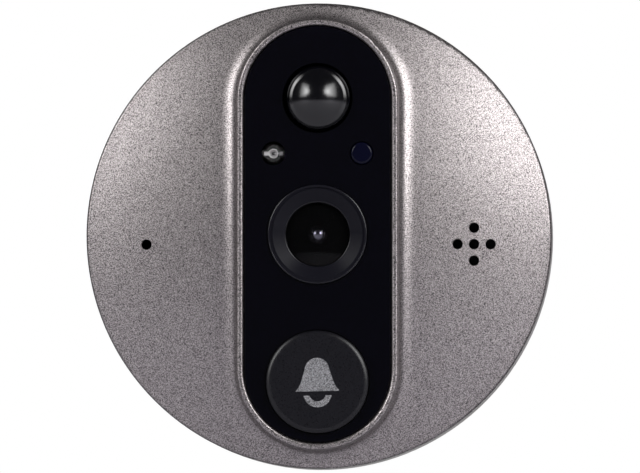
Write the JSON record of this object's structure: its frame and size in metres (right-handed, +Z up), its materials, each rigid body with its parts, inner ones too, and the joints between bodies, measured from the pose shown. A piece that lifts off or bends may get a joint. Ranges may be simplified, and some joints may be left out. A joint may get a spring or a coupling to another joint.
{
  "type": "peephole door camera",
  "caption": "Round outdoor unit of a peephole door camera: domed cover, flared raised collar, black panel with motion sensor, camera lens, lamp and sprung bell button, rear hub for the door.",
  "frame": {"origin": "centre of the door's hole, on the plane of the foam pad's back, where it meets the door's outer face", "axes": "+Y along the hub's axis into the door, -Y towards the visitor, +Z up towards the motion sensor, +X to the visitor's right"},
  "size_m": [0.062, 0.026, 0.062],
  "materials": {
    "cover_paint": "satin",
    "panel_black": "gloss",
    "smoked_lens": "gloss",
    "clear_epoxy": "gloss",
    "dark_epoxy": "gloss",
    "bezel_black": "matte",
    "lens_glass": "gloss",
    "button_black": "matte",
    "silicone": "matte",
    "foam": "matte",
    "steel": "satin",
    "brass": "satin",
    "black_plastic": "satin",
    "rear_plastic": "matte",
    "socket_plastic": "satin",
    "board": "satin",
    "chip": "satin",
    "mesh": "matte"
  },
  "bodies": {
    "unit": {"front_cover": "cover_paint", "front_panel": "panel_black", "panel_gasket": "foam", "pir_dome": "smoked_lens", "pir_sensor": "steel", "pir_window": "smoked_lens", "ir_led": "clear_epoxy", "light_sensor": "dark_epoxy", "lead_frames": "steel", "led_spacers": "black_plastic", "lens_bezel": "bezel_black", "lens_front_element": "lens_glass", "lens_barrel": "black_plastic", "lens_inner_element": "lens_glass", "lens_retaining_ring": "steel", "lens_holder": "black_plastic", "ir_filter": "lens_glass", "image_sensor": "chip", "button_seal": "silicone", "switch_body": "black_plastic", "switch_dome": "steel", "switch_cover": "steel", "main_board": "board", "board_chips": "chip", "microphone": "steel", "microphone_boot": "silicone", "speaker_frame": "black_plastic", "speaker_magnet": "steel", "speaker_diaphragm": "smoked_lens", "speaker_gasket": "foam", "speaker_mesh": "mesh", "speaker_contacts": "brass", "cable_socket": "socket_plastic", "socket_pins": "brass", "board_screws": "steel", "cover_seal": "silicone", "rear_cover": "rear_plastic", "cover_screws": "steel", "threaded_inserts": "brass", "mounting_pad": "foam"},
    "button": {"button_cap": "button_black"},
    "stem": {"switch_stem": "black_plastic"}
  },
  "joints": [
    {"name": "button_press", "type": "slide", "parent": "unit", "child": "button", "axis": [0, 1, 0], "range_m": [0, 0.0005], "stiffness_N_per_m": 4000, "deforming": ["button_seal", "switch_dome"]},
    {"name": "switch_stem_slide", "type": "slide", "parent": "unit", "child": "stem", "axis": [0, 1, 0], "range_m": [0, 0.0005], "deforming": ["switch_dome", "button_seal"]}
  ],
  "couplings": [
    {"joint": "switch_stem_slide", "follows": "button_press", "ratio": 1}
  ]
}
